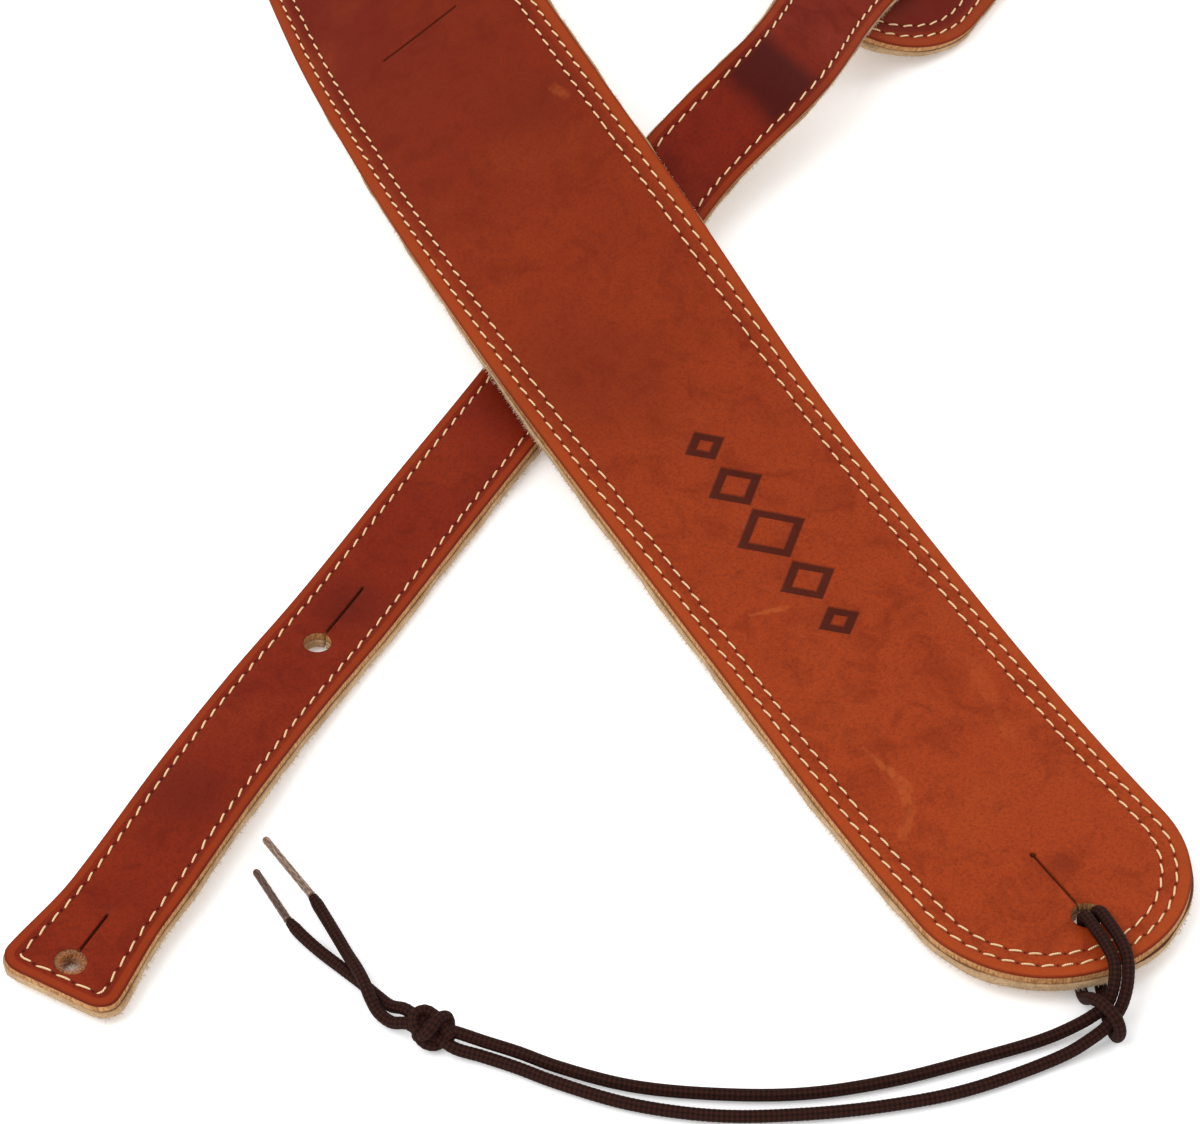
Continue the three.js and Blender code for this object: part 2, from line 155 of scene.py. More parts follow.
def unit(vectors):
    return vectors / np.linalg.norm(vectors, axis=-1, keepdims=True)


def columns(parts):
    return np.column_stack(parts)


def run_along(line):
    """The distance run at each point of a line."""
    return np.concatenate([[0], np.cumsum(np.linalg.norm(np.diff(line, axis=0), axis=1))])


def with_guides(points):
    """A line with one more point past each end, so that a curve passes through all of it."""
    return np.vstack([2 * points[0] - points[1], points, 2 * points[-1] - points[-2]])


# --- the ribbon each cut is bent along ---


class Ribbon:
    """A uniform Catmull-Rom centreline that turns about itself by a bank angle, as in the CAD."""

    def __init__(self, rows, half_width, flare=0.0):
        self.flare = flare
        rows = np.array(rows, float)
        bank = np.radians(rows[:, 2])
        height = half_width * np.sin(bank) + HALF_THICKNESS * np.cos(bank) + rows[:, 3]
        points = columns([rows[:, :2] - LAYOUT_CENTRE[:2], height, rows[:, 2]])
        self.spans = len(rows) - 1
        self.points = with_guides(points)
        self.times = np.linspace(0, 1, 24 * self.spans + 1)
        self.distances = run_along(self.at(self.times)[:, :3])
        self.length = self.distances[-1]

    def at(self, time):
        place = np.clip(time, 0, 1) * self.spans
        span = np.minimum(place.astype(int), self.spans - 1)
        f = (place - span)[:, None]
        before, start, end, after = (self.points[span + i] for i in range(4))
        leave, arrive = (end - before) / 2, (after - start) / 2
        cubic = (2 * start - 2 * end + leave + arrive) * f**3
        square = (3 * end - 3 * start - 2 * leave - arrive) * f**2
        return cubic + square + leave * f + start

    def axes(self, distance):
        time = np.interp(distance, self.distances, self.times)
        here = self.at(time)
        along = unit((self.at(time + 1e-4) - self.at(time - 1e-4))[:, :3])
        level = unit(np.cross(along, [0, 0, 1]))
        bank = np.radians(here[:, 3:])
        across = level * np.cos(bank) - np.cross(along, level) * np.sin(bank)
        return here[:, :3], along, across, np.cross(across, along)

    def place(self, flat):
        """Flat numbers (along, across, height) as points of the part, in millimetres."""
        flat = np.atleast_2d(flat)
        origin, _, across, up = self.axes(flat[:, 0])
        wider = 1 + self.flare * smoothstep(flat[:, :1], self.length - TAIL_FLARE_LENGTH, self.length)
        return origin + across * flat[:, 1:2] * wider + up * flat[:, 2:3]


pad_ribbon = Ribbon(PAD_PATH, PAD_HALF_WIDTH)
tail_ribbon = Ribbon(TAIL_PATH, TAIL_HALF_WIDTH, TAIL_FLARE)
bridge_slits = sorted(pad_ribbon.length - at for at in BRIDGE_SLITS_AT)


def bridge_lift(along, across):
    """How far the pad's rear end stands up over the tail, between and beside the bridge slits."""
    side = np.abs(across)
    offset = np.maximum(np.maximum(bridge_slits[0] - along, along - bridge_slits[1]), 0)
    arch = BRIDGE_RISE * (1 - smoothstep(side, BRIDGE_FLAT, BRIDGE_FOOT))
    slit_end = BRIDGE_SLIT_LENGTH / 2
    end_lift = BRIDGE_RISE * (1 - smoothstep(slit_end, BRIDGE_FLAT, BRIDGE_FOOT))
    near = end_lift * smoothstep(side, BRIDGE_FLAT, slit_end)
    beside = np.where(side < slit_end, near, arch) * (1 - smoothstep(offset, 0, BRIDGE_FADE))
    return np.where(offset == 0, arch, beside)


def no_lift(along, across):
    return np.zeros_like(along)


# --- outlines on the flat cut ---


def turned(points, centre, way):
    return columns([centre + way * points[:, 0], way * points[:, 1]])


def keyhole(centre, hole_radius, cut, way, stop_radius, offset):
    """A round hole with a cut running from it, grown by offset. way is 1 up the strap, -1 down."""
    radius, half = hole_radius + offset, CUT_HALF + offset
    stop = max(stop_radius, CUT_HALF) + offset
    mouth, stop_mouth = math.asin(half / radius), math.asin(half / stop)
    round_hole = np.linspace(mouth, 2 * math.pi - mouth, 30)
    cap = np.linspace(stop_mouth - math.pi, math.pi - stop_mouth, 9)
    end = hole_radius + cut
    sides = np.linspace(radius * math.cos(mouth), end - stop * math.cos(stop_mouth), 12)[1:-1]
    outline = np.vstack([
        radius * columns([np.cos(round_hole), np.sin(round_hole)]),
        columns([sides, np.full(len(sides), -half)]),
        columns([end + stop * np.cos(cap), stop * np.sin(cap)]),
        columns([sides[::-1], np.full(len(sides), half)]),
    ])
    return turned(outline, centre, way)


def slit(centre, length, half, offset):
    """A cut across the strap, grown by offset."""
    half, reach = half + offset, length / 2
    edge = np.linspace(-reach, reach, 1 + round(length / STATION))
    cap = np.linspace(0, math.pi, 6)[1:-1]
    return np.vstack([
        columns([np.full(len(edge), centre + half), edge]),
        columns([centre + half * np.cos(cap), reach + half * np.sin(cap)]),
        columns([np.full(len(edge), centre - half), edge[::-1]]),
        columns([centre - half * np.cos(cap), -reach - half * np.sin(cap)]),
    ])


def lozenge(centre, half_length, half_width, offset):
    reach = half_length * half_width / math.hypot(half_length, half_width)
    grow = (reach + offset) / reach
    corners = np.array([[half_length, 0], [0, half_width], [-half_length, 0], [0, -half_width]]) * grow
    sides = [np.linspace(corners[i], corners[(i + 1) % 4], 7)[:-1] for i in range(4)]
    return np.vstack(sides) + [centre, 0]


def inside(points, outline):
    """Which points lie inside a closed outline."""
    x, y = points[:, :1], points[:, 1:]
    x0, y0 = outline[:, 0], outline[:, 1]
    x1, y1 = np.roll(x0, -1), np.roll(y0, -1)
    crosses = (y0 > y) != (y1 > y)
    with np.errstate(divide="ignore", invalid="ignore"):
        at = x0 + (y - y0) / (y1 - y0) * (x1 - x0)
    return (crosses & (x < at)).sum(axis=1) % 2 == 1


# The pad's mark: a plain chain of stamped lozenge frames, largest in the middle.
MARK_AT = 147.0
MARK_PITCH = 17.0


def mark_shapes():
    shapes = []
    for step in range(-2, 3):
        scale = 1 - 0.2 * abs(step)
        shapes.append((MARK_AT + MARK_PITCH * step * (1 - 0.06 * abs(step)), 8.6 * scale, 9.6 * scale))
    return shapes


class Cut:
    """A flat leather cut: a strip with rounded ends, its stitching rows, openings and mark."""

    def __init__(self, ribbon, half_width, corners, rows, lift, openings, holes, shapes=()):
        self.narrow = len(rows) == 1  # one row of stitching, and holes close to it
        self.holes = holes  # place along the cut and radius of each round hole
        self.ribbon, self.half_width, self.corners = ribbon, half_width, corners
        self.rows, self.lift, self.openings, self.shapes = rows, lift, openings, shapes
        self.phases = [self.row_phase(row) for row in rows]

    def ring(self, inset):
        """The outline drawn in by inset. Rings have equal counts, so that they line up."""
        length, wide = self.ribbon.length, self.half_width
        first, last = (max(corner - inset, 0.25) for corner in self.corners)
        start, end, side = inset + first, length - inset - last, wide - inset
        straight = round((length - sum(self.corners)) / STATION)
        parts = []

        def line(a, b, count):
            parts.append(np.linspace(a, b, count + 1)[:-1])

        def corner(centre, radius, from_angle, to_angle, rim):
            angles = np.radians(np.linspace(from_angle, to_angle, max(6, round(rim / 2)) + 1)[:-1])
            parts.append(centre + radius * columns([np.cos(angles), np.sin(angles)]))

        across = [round(2 * (wide - c) / STATION) for c in self.corners]
        line([start, side], [end, side], straight)
        corner([end, side - last], last, 90, 0, self.corners[1] * 1.5)
        line([length - inset, side - last], [length - inset, last - side], across[1])
        corner([end, last - side], last, 0, -90, self.corners[1] * 1.5)
        line([end, -side], [start, -side], straight)
        corner([start, first - side], first, -90, -180, self.corners[0] * 1.5)
        line([inset, first - side], [inset, side - first], across[0])
        corner([start, side - first], first, -180, -270, self.corners[0] * 1.5)
        return np.vstack([part for part in parts if len(part)])

    def row_line(self, row):
        """A stitching row's closed line, its running length, and how many stitches it holds."""
        line = self.ring(row)
        line = np.vstack([line, line[:1]])
        run = run_along(line)
        return line, run, round(run[-1] / STITCH_PITCH)

    def row_phase(self, row):
        """Each ring point's place along a row, in stitches."""
        _, run, stitches = self.row_line(row)
        return run[:-1] / run[-1] * stitches

    def edge(self, points):
        to_side = self.half_width - np.abs(points[:, 1])
        to_end = np.minimum(points[:, 0], self.ribbon.length - points[:, 0])
        return np.minimum(to_side, to_end)

    def bare_and_slit_shade(self, points):
        """How raw an opening's wall is: tan in a round hole; in a knife cut mostly the leather's colour,
        as painted shade in the narrow slit.
        """
        # Knife cuts keep 0.42: painted shade on their walls.
        shown = np.full(len(points), 0.42)
        for centre, radius in self.holes:
            shown[np.hypot(points[:, 0] - centre, points[:, 1]) < radius + 0.3] = 1.0
        return shown

    def sway(self, along, across):
        """The slow rise and fall of the leather's surface."""
        slow = np.sin(along / 19 + 1.3 * np.sin(across / 14)) * 0.12
        quick = np.sin(along / 8.3 - across / 9.7 + 2) * 0.07
        return (slow + quick) * smoothstep(self.half_width - np.abs(across), 0, 6)

    def channel(self, edge, phase):
        """How deep the stitching sinks the leather: deepest at each needle hole."""
        depth = np.zeros_like(edge)
        for row, turn in zip(self.rows, phase):
            pull = 0.75 + 0.25 * np.cos(2 * math.pi * turn)
            depth += CHANNEL_DEPTH * pull * np.exp(-(((edge - row) / CHANNEL_HALF_WIDTH) ** 2))
        return depth


def tail_keyhole(number, offset):
    centre = tail_ribbon.length - TAIL_HOLES_AT[number]
    return keyhole(centre, TAIL_KEYHOLE_RADIUS, TAIL_KEYHOLE_CUTS[number], -1, 0.3, offset)


pad_openings = [
    lambda offset: keyhole(PAD_HOLE_AT, KEYHOLE_RADIUS, KEYHOLE_CUT, 1, 0.75, offset),
    lambda offset: slit(SPARE_SLIT_AT, SPARE_SLIT_LENGTH, CUT_HALF, offset),
    lambda offset: slit(bridge_slits[0], BRIDGE_SLIT_LENGTH, BRIDGE_SLIT_HALF, offset),
    lambda offset: slit(bridge_slits[1], BRIDGE_SLIT_LENGTH, BRIDGE_SLIT_HALF, offset),
]
tail_openings = [
    lambda offset: tail_keyhole(0, offset),
    lambda offset: tail_keyhole(1, offset),
]
pad = Cut(pad_ribbon, PAD_HALF_WIDTH, (PAD_HALF_WIDTH, PAD_HALF_WIDTH), [OUTER_ROW, INNER_ROW],
          bridge_lift, pad_openings, [(PAD_HOLE_AT, KEYHOLE_RADIUS)], mark_shapes())
tail = Cut(tail_ribbon, TAIL_HALF_WIDTH, (TAIL_INNER_CORNER, TAIL_OUTER_CORNER), [OUTER_ROW],
           no_lift, tail_openings,
           [(tail_ribbon.length - at, TAIL_KEYHOLE_RADIUS) for at in TAIL_HOLES_AT])


# --- plies ---


def channel_insets(cut):
    """Insets of the rings that draw the stitching channels."""
    steps = (-1.0, -0.5, 0.0, 0.5, 0.7 if cut.narrow else 1.0)
    return [row + step for row in cut.rows for step in steps]


class Face:
    """One triangulated face of a ply, as flat points with what the materials read."""

    def __init__(self, cut, insets, offsets, spacing, marked):
        self.points, self.edges, self.inset, self.index, self.stamp = [], [], [], [], []
        self.count = 0
        self.borders = []
        for inset in insets:
            ring = cut.ring(inset)
            self.add_ring(ring, inset, np.arange(len(ring)), 0)
            if inset == insets[0]:
                self.borders.append(np.arange(len(ring)))
        for opening in cut.openings:
            for offset in offsets:
                ring = opening(offset)
                if offset == offsets[0]:
                    self.borders.append(self.count + np.arange(len(ring)))
                self.add_ring(ring, cut.edge(ring), None, 0)
        keep_off = [opening(offsets[-1] + 1.0) for opening in cut.openings]
        frames = []
        if marked:
            for centre, long, wide in cut.shapes:
                for offset, level in ((0, 0), (-0.45, 1), (-2.1, 1), (-2.55, 0)):
                    ring = lozenge(centre, long, wide, offset)
                    self.add_ring(ring, cut.edge(ring), None, level)
                keep_off.append(lozenge(centre, long, wide, 0.8))
                frames.append((lozenge(centre, long, wide, -0.45), lozenge(centre, long, wide, -2.1)))
                inner = np.array([[centre, 0.0]])
                self.add_points(inner, cut.edge(inner), np.zeros(1))
        length, wide = cut.ribbon.length, cut.half_width
        along = np.arange(insets[-1] + spacing, length - insets[-1], spacing)
        across = np.arange(-wide + insets[-1] + spacing * 0.8, wide - insets[-1] - spacing * 0.5, spacing)
        grid = np.stack(np.meshgrid(along, across, indexing="ij"), axis=-1).reshape(-1, 2)
        grid = grid[inside(grid, cut.ring(insets[-1] + spacing * 0.6))]
        for outline in keep_off:
            grid = grid[~inside(grid, outline)]
        self.add_points(grid, cut.edge(grid), np.zeros(len(grid)))
        self.triangulate(cut, [opening(offsets[0]) for opening in cut.openings])

    def add_points(self, points, inset, stamp, index=None):
        self.points.append(points)
        self.inset.append(np.broadcast_to(inset, len(points)))
        self.stamp.append(np.broadcast_to(stamp, len(points)))
        self.index.append(np.full(len(points), -1) if index is None else index)
        self.count += len(points)

    def add_ring(self, ring, inset, index, stamp):
        at = self.count + np.arange(len(ring))
        self.edges.append(columns([at, np.roll(at, -1)]))
        self.add_points(ring, inset, stamp, index)

    def triangulate(self, cut, holes):
        self.points = np.vstack(self.points)
        self.inset = np.concatenate(self.inset)
        self.stamp = np.concatenate(self.stamp)
        self.index = np.concatenate(self.index)
        corners = [Vector(p) for p in self.points]
        edges = np.vstack(self.edges).tolist()
        _, _, faces, origins, _, _ = geometry.delaunay_2d_cdt(corners, edges, [], 0, 1e-5, True)
        back = np.array([origin[0] if origin else 0 for origin in origins])
        self.triangles = back[np.array(faces)]
        middle = self.points[self.triangles].mean(axis=1)
        for hole in holes:
            near = (np.abs(middle - hole.mean(axis=0)) < np.ptp(hole, axis=0)).all(axis=1)
            gone = np.zeros(len(middle), bool)
            gone[near] = inside(middle[near], hole)
            self.triangles, middle = self.triangles[~gone], middle[~gone]

    def phase(self, cut):
        """Each point's place along each stitching row."""
        return [np.where(self.index >= 0, turns[np.maximum(self.index, 0)], 0.0) for turns in cut.phases]


def new_object(name, points, faces, material, **stored):
    """A smooth mesh piece from millimetre points, faces outward, with vectors for its material."""
    mesh = bpy.data.meshes.new(name)
    mesh.from_pydata((np.asarray(points) * MM).tolist(), [], [list(map(int, face)) for face in faces])
    outward = bmesh.new()
    outward.from_mesh(mesh)
    bmesh.ops.recalc_face_normals(outward, faces=outward.faces)
    outward.to_mesh(mesh)
    outward.free()
    mesh.polygons.foreach_set("use_smooth", np.ones(len(mesh.polygons), bool))
    mesh.materials.append(material)
    piece = bpy.data.objects.new(name, mesh)
    bpy.context.scene.collection.objects.link(piece)
    for title, values in stored.items():
        add_vectors(mesh, title, "POINT", values)
    return piece


def add_vectors(mesh, name, domain, values):
    attribute = mesh.attributes.new(name, "FLOAT_VECTOR", domain)
    attribute.data.foreach_set("vector", np.asarray(values, np.float32).ravel())


def add_stitch_phase(piece, phases, stitches):
    """Stores each row's place in stitches on the face corners, unbroken where the row closes."""
    mesh = piece.data
    vertex = np.empty(len(mesh.loops), int)
    mesh.loops.foreach_get("vertex_index", vertex)
    starts = np.empty(len(mesh.polygons), int)
    mesh.polygons.foreach_get("loop_start", starts)
    values = np.zeros((len(vertex), 3), np.float32)
    for column, (phase, total) in enumerate(zip(phases, stitches)):
        turn = phase[vertex]
        high = np.maximum.reduceat(turn, starts)
        low = np.minimum.reduceat(turn, starts)
        sizes = np.diff(np.append(starts, len(vertex)))
        wraps = np.repeat(high - low > total / 2, sizes)
        values[:, column] = np.where(wraps & (turn < total / 2), turn + total, turn)
    add_vectors(mesh, "stitch", "CORNER", values)


def ragged(cut, count, amount):
    """A small uneven overhang along a ring, for a cut edge of suede."""
    turn = np.arange(count) * STATION
    waves = 0.5 * np.sin(turn / 5.1) + 0.3 * np.sin(turn / 2.3 + 1)
    return amount * (waves + 0.5 * random.random(count))


def ply(name, cut, side, material):
    """One ply as a closed body. side is 1 for the grain ply on top, -1 for the lining ply."""
    grain = side > 0
    rounding = GRAIN_EDGE if grain else LINING_EDGE
    turns = np.linspace(0, math.pi / 2, 6)
    rounded = [rounding * (1 - math.sin(turn)) for turn in turns[::-1]]
    drop = {inset: rounding * (1 - math.cos(turn)) for inset, turn in zip(rounded, turns[::-1])}
    between = [1.5] if cut.narrow else [1.5, 4.75, 8.4]
    insets = sorted(set(rounded) | set(channel_insets(cut)) | set(between))
    rims = [0, 0.15] if cut.narrow else [0, 0.3, 0.9]
    inner_insets = [0.15, 2.5] if cut.narrow else [0.15, 2.5, 6.5]
    outer = Face(cut, insets, rims, OUTER_SPACING, grain)
    inner = Face(cut, inner_insets, [0.15, 0.9], INNER_SPACING, False)

    flat, edge, raw, stamp = [], [], [], []
    phases = [[] for _ in cut.rows]

    def add(points, height, inset, rawness, stamped, phase):
        lift = cut.lift(points[:, 0], points[:, 1])
        sway = cut.sway(points[:, 0], points[:, 1])
        flat.append(columns([points, height + lift + sway]))
        edge.append(np.broadcast_to(inset, len(points)))
        raw.append(np.broadcast_to(rawness, len(points)))
        stamp.append(np.broadcast_to(stamped, len(points)))
        for stored, turn in zip(phases, phase):
            stored.append(np.broadcast_to(turn, len(points)))
        return sum(map(len, flat)) - len(points)

    phase = outer.phase(cut)
    falls = np.interp(outer.inset, sorted(drop), [drop[i] for i in sorted(drop)], right=0)
    border_of_hole = np.zeros(outer.count, bool)
    for border in outer.borders[1:]:
        border_of_hole[border] = True
    falls = falls + np.where(border_of_hole, HOLE_RIM_DROP, 0)
    deep = cut.channel(outer.inset, phase) + STAMP_DEPTH * outer.stamp
    height = side * (HALF_THICKNESS - falls - deep)
    rawness = np.where(outer.inset < 0.01, 0.4, 0.0) + border_of_hole * 0.5 * cut.bare_and_slit_shade(outer.points)
    add(outer.points, height, outer.inset, rawness, outer.stamp, phase)
    base = add(inner.points, side * SEAM, inner.inset, 1, 0, inner.phase(cut))

    faces = [tuple(t) for t in outer.triangles]
    faces += [tuple(t) for t in inner.triangles + base]
    for number, (top, bottom) in enumerate(zip(outer.borders, inner.borders)):
        outline = cut.ring if number == 0 else cut.openings[number - 1]
        loops = [top]
        bareness_and_slit_shade = 1 if number == 0 else cut.bare_and_slit_shade(outline(0))
        for share, pull in ((0.1, 0.0), (0.55, 0.0), (0.93, 0.02)):
            ring = outline(0)
            high = HALF_THICKNESS - (rounding if number == 0 else HOLE_RIM_DROP)
            level = high + (SEAM - high) * share
            start = add(ring, side * level, pull, bareness_and_slit_shade, 0, [0.0] * len(cut.phases))
            if number == 0 and not grain:
                shift = LINING_PROUD + ragged(cut, len(ring), 0.3)
                outward = unit(ring - cut.ring(0.2))
                flat[-1][:, :2] += outward * shift[:, None]
            loops.append(start + np.arange(len(ring)))
        loops.append(bottom + base)
        for upper, lower in zip(loops, loops[1:]):
            faces += list(zip(upper, lower, np.roll(lower, -1), np.roll(upper, -1)))

    flat = np.vstack(flat)
    leather = columns([np.concatenate(values) for values in (edge, raw, stamp)])
    piece = new_object(name, cut.ribbon.place(flat), faces, material, flat=flat, leather=leather)
    counts = [cut.row_line(row)[2] for row in cut.rows]
    add_stitch_phase(piece, [np.concatenate(stored) for stored in phases], counts)
    return piece


# --- stitches ---


def tube(path, radii, sides, side_axis):
    """Points and faces of a closed round tube. path is (n, 3); side_axis is near its side ways."""
    along = unit(np.gradient(path, axis=0))
    across = unit(side_axis - (side_axis * along).sum(axis=1, keepdims=True) * along)
    up = np.cross(along, across)
    angle = np.arange(sides) / sides * 2 * math.pi
    around = across[:, None] * np.cos(angle)[:, None] + up[:, None] * np.sin(angle)[:, None]
    points = path[:, None] + around * np.asarray(radii)[..., None]
    return points.reshape(-1, 3), tube_faces(len(path), sides)


def tube_faces(rings, sides):
    grid = np.arange(rings * sides).reshape(rings, sides)
    ahead = np.roll(grid, -1, axis=1)
    walls = np.stack([grid[:-1], ahead[:-1], ahead[1:], grid[1:]], axis=-1).reshape(-1, 4)
    return [tuple(w) for w in walls] + [tuple(grid[0][::-1]), tuple(grid[-1])]


def stitches(name, cut, row, face, material):
    """A row of lock stitches on one face: each a short slanted thread that dips at both ends."""
    line, run, count = cut.row_line(row)
    rings, sides = (7, 8) if face > 0 else (5, 6)
    share = np.linspace(-0.5, 0.5, rings)
    arch = 1 - (2 * np.abs(share)) ** 3
    points, faces, twist = [], [], []
    for number in range(count):
        length = STITCH_SHARE + 0.03 * random.standard_normal()
        slant = STITCH_SLANT * (1 + 0.3 * random.standard_normal())
        at = (number + 0.5 + share * length) / count * run[-1]
        place = columns([np.interp(at, run, line[:, axis]) for axis in range(2)])
        heading = unit(np.gradient(place, axis=0))
        sideways = columns([-heading[:, 1], heading[:, 0]])
        place = place + sideways * (-2 * slant * share)[:, None]
        height = HALF_THICKNESS - CHANNEL_DEPTH * 0.9 - 0.24 + 0.46 * arch
        lifted = face * height + cut.lift(place[:, 0], place[:, 1]) + cut.sway(place[:, 0], place[:, 1])
        ahead = cut.ribbon.place(columns([place + sideways * 0.2, lifted]))
        path = cut.ribbon.place(columns([place, lifted]))
        radii = THREAD_RADIUS * np.sqrt(np.clip(1 - (2 * np.abs(share)) ** 6, 0.12, 1))
        made, skin = tube(path, radii[:, None], sides, unit(ahead - path))
        start = number * rings * sides
        points.append(made)
        faces += [tuple(i + start for i in f) for f in skin]
        turn = np.tile(np.arange(sides) / sides, rings)
        soil = np.full(rings * sides, random.random())
        twist.append(columns([np.repeat(at, sides), turn, soil]))
    return new_object(name, np.vstack(points), faces, material, twist=np.vstack(twist))


def nap(name, cut, count, material):
    """The suede ply's loose fibres: fine spikes that stand out of its cut edge."""
    ring = cut.ring(0.0)
    outward = unit(ring - cut.ring(0.2))
    at = random.integers(0, len(ring), count)
    spread = random.random(count)
    ahead = (at + 1) % len(ring)
    start = ring[at] + (ring[ahead] - ring[at]) * spread[:, None]
    normal = outward[at]
    low = random.random(count) ** 0.7
    height = -0.7 - 1.7 * low
    lift = cut.lift(start[:, 0], start[:, 1])
    start = start + normal * LINING_PROUD
    root = columns([start - normal * 0.1, height + lift])
    reach = 0.3 + 0.6 * random.random(count) ** 2
    lean = random.normal(0, 0.45, count)
    tip_height = height + lift - 0.35 * low * reach + random.normal(0, 0.2, count)
    tip = columns([start + normal * reach[:, None], tip_height])
    tip[:, :2] += columns([-normal[:, 1], normal[:, 0]]) * (lean * reach)[:, None]
    base, end = cut.ribbon.place(root), cut.ribbon.place(tip)
    end[:, 2] = np.maximum(end[:, 2], 0.05)
    return spikes(name, base, end, 0.05, 0.04, material)


def spikes(name, base, end, thin, spread, material):
    """Fine three-sided fibres, each from a base point to its tip."""
    count = len(base)
    axis = unit(end - base)
    one = unit(np.cross(axis, random.standard_normal((count, 3))))
    two = np.cross(axis, one)
    thick = thin + spread * random.random(count)[:, None]
    corners = [base + thick * (one * math.cos(a) + two * math.sin(a)) for a in (0, 2.1, 4.2)]
    points = np.stack([*corners, end], axis=1).reshape(-1, 3)
    first = np.arange(count) * 4
    corner_order = ((0, 1, 3), (1, 2, 3), (2, 0, 3), (2, 1, 0))
    sides = [columns([first + corner for corner in order]) for order in corner_order]
    return new_object(name, points, np.vstack(sides).tolist(), material)


def hole_fray(name, cut, centre, radius, count, material):
    """Torn fibres that stand into a button hole from its wall."""
    turn = random.random(count) * 2 * math.pi
    high = random.uniform(-1.9, 1.7, count)
    inward = -columns([np.cos(turn), np.sin(turn)])
    start = np.array([centre, 0.0]) - inward * (radius - 0.02)
    reach = 0.6 + 2.3 * random.random(count) ** 1.4
    swirl = columns([-inward[:, 1], inward[:, 0]]) * random.normal(0, 0.5, count)[:, None]
    end = start + (inward + swirl) * reach[:, None]
    base = cut.ribbon.place(columns([start, high]))
    tip = cut.ribbon.place(columns([end, high + random.normal(0, 0.3, count)]))
    return spikes(name, base, tip, 0.06, 0.05, material)


# --- lace ---


def smooth_line(points, step):
    """A centripetal curve through points given in the layout's numbers, at even steps."""
    points = np.array(points, float) - LAYOUT_CENTRE
    padded = with_guides(points)
    knots = np.concatenate([[0], np.cumsum(np.sqrt(np.linalg.norm(np.diff(padded, axis=0), axis=1)))])
    line = []
    for i in range(1, len(padded) - 2):
        t = np.linspace(knots[i], knots[i + 1], 24, endpoint=False)[:, None]
        k, p = knots[i - 1:i + 3], padded[i - 1:i + 3]
        level = [((k[j + 1] - t) * p[j] + (t - k[j]) * p[j + 1]) / (k[j + 1] - k[j]) for j in range(3)]
        pair = [((k[j + 2] - t) * level[j] + (t - k[j]) * level[j + 1]) / (k[j + 2] - k[j])
                for j in range(2)]
        line.append(((k[2] - t) * pair[0] + (t - k[1]) * pair[1]) / (k[2] - k[1]))
    line = np.vstack([*line, points[-1:]])
    run = run_along(line)
    even = np.linspace(0, run[-1], max(2, round(run[-1] / step) + 1))
    return columns([np.interp(even, run, line[:, axis]) for axis in range(3)]), run[-1]


def side_axes(path):
    """A side direction for each point of a path, turned as little as possible along it."""
    along = unit(np.gradient(path, axis=0))
    sides = [unit(np.cross(along[0], [0.1, 0.2, 1.0]))]
    for way in along[1:]:
        sides.append(unit(sides[-1] - way * sides[-1].dot(way)))
    return np.array(sides)


BRAID_SIDES = 32
BRAID_STEP = 0.24
BRAID_PICKS = 8  # strands each way round the lace
BRAID_LAY = 8.5  # length of one full turn
BRAID_RELIEF = 0.1


def braided(name, lines, material, radius=LACE_RADIUS - BRAID_RELIEF, taper=0.0):
    """A round braid along each line: two sets of strands wound opposite ways, over and under."""
    points, faces, weave = [], [], []
    count = 0
    for path in lines:
        run = run_along(path)
        angle = np.arange(BRAID_SIDES) / BRAID_SIDES * 2 * math.pi
        wind = run[:, None] / BRAID_LAY * 2 * math.pi
        one = np.cos(BRAID_PICKS / 2 * (angle + wind))
        two = np.cos(BRAID_PICKS / 2 * (angle - wind))
        relief = BRAID_RELIEF * np.sqrt(np.abs(one * two) + 0.02)
        from_end = np.minimum(run, run[-1] - run)
        close = 1 - taper * (1 - smoothstep(from_end, 0, 2.5))
        made, skin = tube(path, (radius + relief) * close[:, None], BRAID_SIDES, side_axes(path))
        points.append(made)
        faces += [tuple(i + count for i in f) for f in skin]
        runs, turns = np.repeat(run, BRAID_SIDES), np.tile(angle, len(path))
        weave.append(columns([runs, turns, (one * two).ravel()]))
        count += len(made)
    return new_object(name, np.vstack(points), faces, material, weave=np.vstack(weave))


def knot_lines():
    """Both strands of the overhand knot, side by side, in a tight turn about the lace."""
    turn = math.radians(KNOT_TURN)
    ahead = np.array([math.cos(turn), math.sin(turn), 0])
    left = np.array([-math.sin(turn), math.cos(turn), 0])
    core = [
        (-6.6, -0.4, -1.3), (-3.6, -1.6, 0.2), (-0.6, -2.9, 1.5), (2.4, -2.6, 2.0), (4.0, 0.2, 1.6),
        (2.6, 3.0, 0.2), (-0.4, 3.1, -1.5), (-3.0, 1.2, -2.2), (-3.9, -1.9, -1.2), (-2.4, -3.2, 1.2),
        (-1.2, -0.4, 3.0), (-0.6, 2.9, 2.0), (1.4, 3.4, -0.6), (3.4, 1.2, -1.8), (6.4, 0.6, -1.6),
    ]
    lines = []
    for shift in (-1.15, 1.15):
        points = []
        for number, (x, y, z) in enumerate(core):
            swing = math.radians(24 * number)
            offset = np.array([0.55 * shift * math.sin(swing), shift * math.cos(swing) * 0.5, shift * 0.6])
            x, y, z = (size * KNOT_TIGHTNESS for size in (x, y, z))
            place = KNOT_CENTRE + ahead * (x + offset[0]) + left * (y + offset[1])
            points.append(place + [0, 0, max(z + offset[2], 1.4 - KNOT_CENTRE[2])])
        lines.append(smooth_line(points, BRAID_STEP)[0])
    return lines


